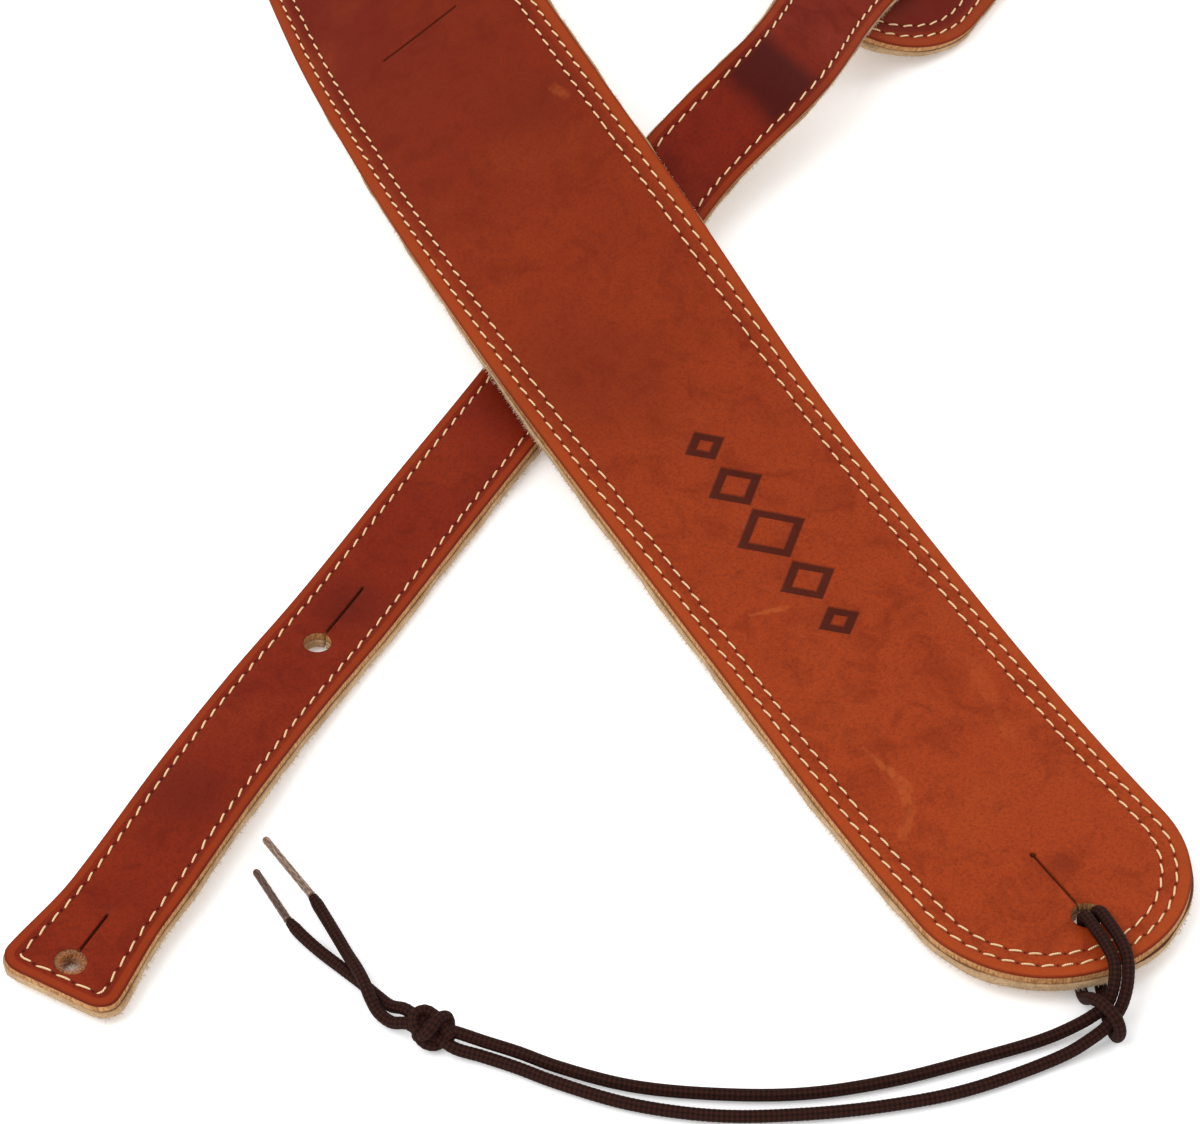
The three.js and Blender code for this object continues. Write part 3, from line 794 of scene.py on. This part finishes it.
def lace_tip(name, ends, material):
    """The clear tube shrunk on a lace end, rounded at its tip."""
    start, end = (np.array(p) - LAYOUT_CENTRE for p in ends)
    share = np.concatenate([[0, 0.01], np.linspace(0.04, 0.96, 40), [0.985, 1]])
    path = start + (end - start) * share[:, None]
    ripple = 0.03 * np.sin(share * 95) + 0.02 * np.sin(share * 41 + 1)
    narrowing = np.interp(share, [0, 0.01, 0.96, 0.985, 1], [0.9, 1, 0.94, 0.8, 0.35])
    radii = (TIP_RADIUS - 0.05 + ripple) * narrowing
    made, skin = tube(path, radii[:, None], TIP_SIDES, side_axes(path))
    turns = np.tile(np.arange(TIP_SIDES) / TIP_SIDES * 6.28, len(share))
    weave = columns([np.repeat(share * 20, TIP_SIDES), turns, np.zeros(len(made))])
    return new_object(name, made, skin, material, weave=weave)


# --- materials ---


def srgb(red, green, blue):
    """A colour given as 0-255 screen values, as the linear one a shader takes."""
    linear = [c / 255 / 12.92 if c <= 10 else ((c / 255 + 0.055) / 1.055) ** 2.4
              for c in (red, green, blue)]
    return (*linear, 1.0)


class Shader:
    """A Principled material and short names for the nodes that feed it."""

    def __init__(self, name, **sockets):
        self.material = bpy.data.materials.new(name)
        self.material.use_nodes = True
        self.nodes, self.links = self.material.node_tree.nodes, self.material.node_tree.links
        self.surface = self.nodes["Principled BSDF"]
        self.finish(**sockets)

    def put(self, socket, value):
        if isinstance(value, bpy.types.NodeSocket):
            self.links.new(value, socket)
        else:
            socket.default_value = value

    def math(self, operation, *values):
        node = self.nodes.new("ShaderNodeMath")
        node.operation = operation
        for socket, value in zip(node.inputs, values):
            self.put(socket, value)
        return node.outputs[0]

    plus = partialmethod(math, "ADD")
    minus = partialmethod(math, "SUBTRACT")
    times = partialmethod(math, "MULTIPLY")
    most = partialmethod(math, "MAXIMUM")

    def hypotenuse(self, a, b):
        return self.math("SQRT", self.plus(self.times(a, a), self.times(b, b)))

    def parts(self, name):
        """The three numbers of a stored vector."""
        stored = self.nodes.new("ShaderNodeAttribute")
        stored.attribute_name = name
        split = self.nodes.new("ShaderNodeSeparateXYZ")
        self.links.new(stored.outputs["Vector"], split.inputs[0])
        return stored.outputs["Vector"], split.outputs

    def stretch(self, vector, scale):
        node = self.nodes.new("ShaderNodeMapping")
        self.put(node.inputs["Vector"], vector)
        node.inputs["Scale"].default_value = scale
        return node.outputs[0]

    def noise(self, vector, scale, detail=3.0, roughness=0.55, distortion=0.0):
        node = self.nodes.new("ShaderNodeTexNoise")
        self.put(node.inputs["Vector"], vector)
        values = {"Scale": scale, "Detail": detail, "Roughness": roughness, "Distortion": distortion}
        for socket, value in values.items():
            node.inputs[socket].default_value = value
        return node.outputs["Fac"]

    def cells(self, vector, scale):
        node = self.nodes.new("ShaderNodeTexVoronoi")
        node.feature = "DISTANCE_TO_EDGE"
        self.put(node.inputs["Vector"], vector)
        node.inputs["Scale"].default_value = scale
        return node.outputs["Distance"]

    def step(self, value, low, high, to_low=0.0, to_high=1.0):
        node = self.nodes.new("ShaderNodeMapRange")
        node.interpolation_type = "SMOOTHSTEP"
        for socket, number in zip(node.inputs, (value, low, high, to_low, to_high)):
            self.put(socket, number)
        return node.outputs[0]

    def mix(self, share, a, b):
        node = self.nodes.new("ShaderNodeMix")
        node.data_type = "RGBA"
        self.put(node.inputs[0], share)
        self.put(node.inputs[6], a)
        self.put(node.inputs[7], b)
        return node.outputs[2]

    def stain(self, colour, tint, value, low, high, least=0.0, most=1.0):
        """The colour, tinted where a value passes from low to high."""
        return self.mix(self.step(value, low, high, least, most), colour, tint)

    def distance(self, parts, place):
        """Flat distance from a place on the cut, in millimetres."""
        return self.hypotenuse(self.minus(parts[0], place[0]), self.minus(parts[1], place[1]))

    def line_distance(self, parts, start, end):
        """Flat distance from a straight line on the cut."""
        along = np.subtract(end, start)
        length = float(np.linalg.norm(along))
        way = along / length
        x, y = self.minus(parts[0], start[0]), self.minus(parts[1], start[1])
        run = self.plus(self.times(x, way[0]), self.times(y, way[1]))
        off = self.minus(self.times(y, way[0]), self.times(x, way[1]))
        past = self.most(self.most(self.times(run, -1.0), self.minus(run, length)), 0.0)
        return self.hypotenuse(off, past)

    def bump(self, height, strength, distance, normal=None):
        node = self.nodes.new("ShaderNodeBump")
        node.inputs["Strength"].default_value = strength
        node.inputs["Distance"].default_value = distance * MM
        self.put(node.inputs["Height"], height)
        if normal is not None:
            self.links.new(normal, node.inputs["Normal"])
        return node.outputs[0]

    def finish(self, **sockets):
        for socket, value in sockets.items():
            self.put(self.surface.inputs[socket.replace("_", " ")], value)
        return self.material


def needle_marks(shader, cut, edge, stitch):
    """Needle holes and the groove of each stitching row, both painted darker as shade."""
    holes, groove = 0.0, 0.0
    for number, row in enumerate(cut.rows):
        beyond = shader.minus(shader.math("FRACT", shader.plus(stitch[number], 0.5)), 0.5)
        x = shader.times(beyond, STITCH_PITCH)
        y = shader.minus(edge, row)
        off = shader.hypotenuse(x, y)
        holes = shader.most(holes, shader.step(off, 0.12, 0.4, 1.0, 0.0))
        groove = shader.most(groove, shader.step(shader.math("ABSOLUTE", y), 0.15, 0.8, 1.0, 0.0))
    return holes, groove


def grain_leather(name, cut, near, far, margin, blotch_and_shade, scratches=(), spots=(), painted_shade_bands=()):
    """Oiled grain leather: colour drifts along the cut (on the pad, darker far on as painted shade), with
    a warm margin outside the stitching.
    """
    shader = Shader(name, Specular_IOR_Level=0.09)
    flat, place = shader.parts("flat")
    _, leather = shader.parts("leather")
    _, stitch = shader.parts("stitch")
    edge, raw, stamp = leather[0], leather[1], leather[2]
    cloud = shader.noise(flat, 0.03, 4.0, 0.6, 0.4)
    # On the pad the far colour is much darker than the near one: painted shade where the pad banks away
    # from the light. On the tail the two are nearly alike.
    drift = shader.step(shader.plus(place[0], shader.times(cloud, 160.0)), 130.0, 520.0)
    colour = shader.mix(drift, near, far)
    mottle = shader.noise(flat, 0.11, 5.0, 0.62, 0.8)
    colour = shader.stain(colour, blotch_and_shade, mottle, 0.42, 0.72, 0.0, 0.42)
    colour = shader.stain(colour, margin, cloud, 0.5, 0.75, 0.0, 0.3)
    brushed = shader.noise(shader.stretch(flat, (1.0, 0.8, 1.0)), 1.2, 5.0, 0.72)
    colour = shader.stain(colour, blotch_and_shade, brushed, 0.42, 0.7, 0.0, 0.4)
    pores = shader.noise(flat, 2.6, 2.0, 0.6)
    colour = shader.stain(colour, blotch_and_shade, pores, 0.5, 0.68, 0.0, 0.4)
    warm = shader.step(edge, cut.rows[-1] - 1.0, cut.rows[0] - 1.6, 0.0, 0.55)
    colour = shader.mix(warm, colour, margin)
    for centre, reach, depth in spots:
        away = shader.plus(shader.distance(place, centre), shader.times(mottle, reach))
        colour = shader.mix(shader.step(away, reach * 0.6, reach * 1.6, depth, 0.0), colour, blotch_and_shade)
    # Painted shade: a dark stripe across the cut at a place along it, fainter near the edges, for the
    # tail's steep dip behind the pad.
    for at, reach, depth in painted_shade_bands:
        away = shader.math("ABSOLUTE", shader.minus(place[0], at))
        away = shader.plus(away, shader.times(mottle, reach * 0.7))
        band = shader.step(away, reach * 0.7, reach * 1.25, depth, 0.0)
        band = shader.times(band, shader.step(edge, 2.2, 4.6, 0.25, 1.0))
        colour = shader.mix(band, colour, srgb(62, 9, 3))
    worn = 0.0
    for start, end, width, strength in scratches:
        wander = shader.times(shader.minus(mottle, 0.5), width * 3)
        away = shader.plus(shader.line_distance(place, start, end), wander)
        worn = shader.most(worn, shader.step(away, width * 0.2, width, strength, 0.0))
    if scratches:
        broken = shader.step(shader.noise(flat, 0.55, 3.0), 0.35, 0.6, 0.35, 1.0)
        colour = shader.mix(shader.times(worn, broken), colour, srgb(184, 94, 44))
    holes, groove = needle_marks(shader, cut, edge, stitch)
    # Painted shade along each stitching groove, in the darker tone.
    colour = shader.mix(shader.times(groove, 0.35), colour, blotch_and_shade)
    colour = shader.stain(colour, blotch_and_shade, edge, 0.0, 0.7, 0.7, 0.0)
    # Painted shade: each needle hole darkened.
    colour = shader.mix(shader.times(holes, 0.75), colour, srgb(58, 14, 5))
    colour = shader.mix(shader.times(stamp, 0.86), colour, srgb(52, 14, 6))
    fibres = shader.noise(shader.stretch(flat, (1.0, 1.0, 0.3)), 2.2, 5.0, 0.7)
    cut_edge = shader.mix(shader.step(fibres, 0.3, 0.7), srgb(136, 82, 44), srgb(206, 156, 104))
    colour = shader.stain(colour, cut_edge, raw, 0.3, 0.85)
    pebble = shader.cells(flat, 0.85)
    skin = shader.bump(shader.step(pebble, 0.0, 0.32), 0.14, 0.08)
    skin = shader.bump(brushed, 0.22, 0.1, skin)
    skin = shader.bump(pores, 0.3, 0.06, skin)
    skin = shader.bump(shader.minus(1.0, holes), 0.8, 0.3, skin)
    shine = shader.step(shader.plus(mottle, shader.times(raw, 0.5)), 0.35, 0.8, 0.52, 0.72)
    return shader.finish(Base_Color=colour, Roughness=shine, Normal=skin)


def suede(name, pale, deep):
    """Raw split leather with a soft nap, greyer where it is rubbed."""
    shader = Shader(name, Specular_IOR_Level=0.1, Sheen_Weight=0.12, Sheen_Roughness=0.6)
    flat, place = shader.parts("flat")
    _, leather = shader.parts("leather")
    patch = shader.noise(flat, 0.12, 4.0, 0.6, 0.6)
    fuzz = shader.noise(flat, 1.7, 5.0, 0.75)
    colour = shader.mix(shader.step(patch, 0.35, 0.7), pale, deep)
    colour = shader.stain(colour, srgb(120, 88, 62), fuzz, 0.35, 0.7, 0.0, 0.5)
    fine = shader.noise(flat, 5.0, 3.0, 0.7)
    colour = shader.stain(colour, srgb(236, 220, 196), fine, 0.5, 0.7, 0.0, 0.3)
    seam = shader.step(place[2], -0.14, -0.03)
    colour = shader.mix(shader.times(seam, leather[1]), colour, srgb(96, 52, 30))
    nap_bump = shader.bump(fuzz, 0.7, 0.35)
    nap_bump = shader.bump(fine, 0.6, 0.15, nap_bump)
    return shader.finish(Base_Color=colour, Roughness=0.95, Normal=nap_bump)


def waxed_thread(name):
    """Two-strand stitching thread: a slanted twist, cream with slightly soiled turns."""
    shader = Shader(name, Specular_IOR_Level=0.25)
    _, twist = shader.parts("twist")
    turn = shader.plus(shader.times(twist[0], 1.9), shader.times(twist[1], 2.0))
    ply_wave = shader.math("SINE", shader.times(turn, 2 * math.pi))
    shade = shader.step(ply_wave, -0.9, 0.4)
    colour = shader.mix(shade, srgb(214, 168, 118), srgb(246, 216, 170))
    colour = shader.stain(colour, srgb(218, 172, 122), twist[2], 0.2, 1.0, 0.0, 0.25)
    return shader.finish(Base_Color=colour, Roughness=0.62, Normal=shader.bump(ply_wave, 0.6, 0.08))


def fibre(name, dull, bright):
    shader = Shader(name, Roughness=0.9, Sheen_Weight=0.3)
    place = shader.nodes.new("ShaderNodeNewGeometry").outputs["Position"]
    spread = shader.noise(place, 900.0, 2.0)
    return shader.finish(Base_Color=shader.mix(spread, dull, bright))


def braid_cord(name):
    """Dark brown braid, with a painted highlight along each yarn."""
    shader = Shader(name, Specular_IOR_Level=0.12)
    weave, parts = shader.parts("weave")
    high = shader.step(parts[2], -0.7, 0.9)
    yarn = shader.noise(shader.stretch(weave, (5.0, 5.0, 1.0)), 1.0, 4.0, 0.7)
    colour = shader.mix(high, srgb(18, 6, 4), srgb(54, 22, 14))
    # Painted highlight: lighter specks along each yarn.
    colour = shader.stain(colour, srgb(92, 48, 30), yarn, 0.5, 0.78, 0.0, 0.4)
    bumps = shader.bump(yarn, 0.6, 0.12)
    return shader.finish(Base_Color=colour, Roughness=0.78, Normal=bumps)


def shrunk_film(name, dark, light):
    """Clear film over the braid's end: dark cord under a slightly rippled skin, with painted reflection
    streaks in the lighter colour.
    """
    shader = Shader(name, Coat_Weight=0.5, Coat_Roughness=0.2, Specular_IOR_Level=0.3)
    weave, parts = shader.parts("weave")
    streak = shader.noise(shader.stretch(weave, (0.5, 2.4, 1.0)), 1.0, 3.0, 0.6)
    # Painted reflection: the lighter colour in streaks along the film.
    colour = shader.mix(shader.step(streak, 0.4, 0.66), dark, light)
    return shader.finish(Base_Color=colour, Roughness=0.3, Normal=shader.bump(streak, 0.4, 0.2))


# --- camera, light and floor ---


def make_camera():
    """Looks down at 45 degrees, along +Y, at the layout's own zero."""
    distance, lens = 1000.0, 129.4
    camera = bpy.data.objects.new("camera", bpy.data.cameras.new("camera"))
    camera.data.lens, camera.data.sensor_width = lens, 36.0
    reach = distance * math.sqrt(0.5)
    camera.location = (Vector((0, -reach, reach)) - Vector(LAYOUT_CENTRE)) * MM
    camera.rotation_euler = (math.radians(45), 0, 0)
    bpy.context.scene.collection.objects.link(camera)
    bpy.context.scene.camera = camera


def area_light(name, location, size, power):
    light = bpy.data.objects.new(name, bpy.data.lights.new(name, "AREA"))
    light.data.shape, light.data.size, light.data.energy = "DISK", size, power
    light.location = location
    light.rotation_mode = "QUATERNION"
    light.rotation_quaternion = (-Vector(location)).to_track_quat("-Z", "Y")
    bpy.context.scene.collection.objects.link(light)


def make_studio():
    scene = bpy.context.scene
    scene.view_settings.view_transform = "Standard"
    scene.world = bpy.data.worlds.new("studio")
    scene.world.use_nodes = True
    background = scene.world.node_tree.nodes["Background"]
    background.inputs["Color"].default_value = (1.0, 1.0, 1.0, 1)
    background.inputs["Strength"].default_value = 0.72
    area_light("key", (-0.9, -0.7, 1.5), 1.4, 20)
    area_light("fill", (0.9, 0.6, 1.2), 1.2, 7)
    bpy.ops.mesh.primitive_plane_add(size=8, location=(0, 0, -0.0005))
    floor = bpy.context.object
    floor.name = "floor"
    paper = Shader("paper", Roughness=0.9, Specular_IOR_Level=0.1, Emission_Strength=0.22)
    grain = paper.noise(paper.nodes.new("ShaderNodeTexCoord").outputs["Object"], 40.0, 2.0)
    white = paper.mix(grain, (0.93, 0.93, 0.93, 1), (0.96, 0.96, 0.96, 1))
    floor.data.materials.append(paper.finish(Base_Color=white))


# --- assembly ---

make_camera()
make_studio()

thread = waxed_thread("waxed_thread")
braid = braid_cord("braid_cord")
films = {
    # The lighter colour of each film is painted reflection, stronger on tip a.
    "a": shrunk_film("clear_film", srgb(80, 55, 42), srgb(165, 140, 120)),
    "b": shrunk_film("dark_film", srgb(45, 24, 17), srgb(110, 80, 62)),
}
loose = fibre("suede_fibre", srgb(196, 166, 130), srgb(240, 226, 204))
torn = fibre("torn_fibre", srgb(150, 70, 22), srgb(224, 146, 70))
lining = suede("suede", srgb(206, 170, 126), srgb(176, 138, 96))


def settle(piece, body, slot, *nodes):
    """Puts a piece on its body, in place of its CAD nodes. Its slot is not used."""
    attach(piece, body)
    if nodes:
        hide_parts(*nodes)


def lace_cord(name, route, nodes, far_end, taper=0.0, **fittings):
    """A braided cord along a route from the button hole."""
    line, length = smooth_line(route, BRAID_STEP)
    cord = braided(name, [line], braid, taper=taper)
    settle(cord, "pad", "braid", *nodes)


# Each lace strand leaves the button hole, lies along the floor, passes the knot and ends in a tip.
knot = braided("lace_knot_turns", knot_lines(), braid, LACE_RADIUS - KNOT_THINNING)
settle(knot, "pad", "braid", "lace_knot")
for letter, route, tip_ends in (("a", STRAND_A, TIP_A), ("b", STRAND_B, TIP_B)):
    tip = lace_tip(f"lace_tip_{letter}_film", tip_ends, films[letter])
    settle(tip, "pad", "lace_tip", f"lace_tip_{letter}")
    strand = f"lace_strand_{letter}"
    lace_cord(strand, route, (f"{strand}_run", f"{strand}_end"), "fitting", taper=0.2,
              with_pieces=[tip, knot] if letter == "a" else [tip])
lace_cord("lace_hitch", BIGHT, ("lace_bight",), "object")

# The pad's far colour, much darker than its near one, is painted shade on its banked stretch.
pad_grain = grain_leather(
    "pad_grain", pad, srgb(152, 56, 16), srgb(98, 20, 6), srgb(160, 66, 22), srgb(94, 24, 7),
    scratches=[((80, -15), (67, -13), 1.6, 0.3), ((67, -13), (59, -16), 1.8, 0.28),
               ((59, -16), (54, -21), 1.6, 0.24), ((92, 20), (68, 15), 2.2, 0.12),
               ((128, -17), (126, -9), 1.0, 0.3), ((292, 20), (288, 22), 1.6, 0.22)],
    spots=[((30, 4), 5, 0.5), ((210, -12), 26, 0.35), ((420, 6), 40, 0.4), ((290, 14), 20, 0.3)])
# The dark stripe at 133 mm along the tail is painted shade for its steep dip behind the pad; it moves with
# the tail.
tail_grain = grain_leather(
    "tail_grain", tail, srgb(114, 27, 7), srgb(122, 34, 9), srgb(146, 54, 16), srgb(80, 16, 6),
    spots=[((330, 0), 12, 0.5), ((400, 2), 14, 0.5), ((250, 0), 18, 0.4)],
    painted_shade_bands=[(133, 14, 0.9)])

for prefix, cut, grain_material, fibres in (
        ("pad", pad, pad_grain, PAD_FIBRES), ("tail", tail, tail_grain, TAIL_FIBRES)):
    rows = [("outer_", OUTER_ROW), ("inner_", INNER_ROW)] if prefix == "pad" else [("", OUTER_ROW)]
    for row_name, inset in rows:
        for face, kind in ((1, "needle"), (-1, "bobbin")):
            title = f"{prefix}_{row_name}{kind}"
            row = stitches(f"{title}_stitches", cut, inset, face, thread)
            settle(row, prefix, "thread", f"{title}_thread")
    top = ply(f"{prefix}_grain_leather", cut, 1, grain_material)
    under = ply(f"{prefix}_suede_lining", cut, -1, lining)
    fringe = nap(f"{prefix}_suede_nap", cut, fibres, loose)
    settle(top, prefix, f"{prefix}_grain", f"{prefix}_grain_ply")
    settle(under, prefix, "suede", f"{prefix}_lining_ply")
    settle(fringe, prefix, "suede")
    if prefix == "tail":
        outer_hole = tail_ribbon.length - TAIL_HOLES_AT[0]
        fray = hole_fray("tail_outer_hole_fray", tail, outer_hole, TAIL_KEYHOLE_RADIUS,
                         HOLE_FIBRES, torn)
        settle(fray, prefix, "suede")
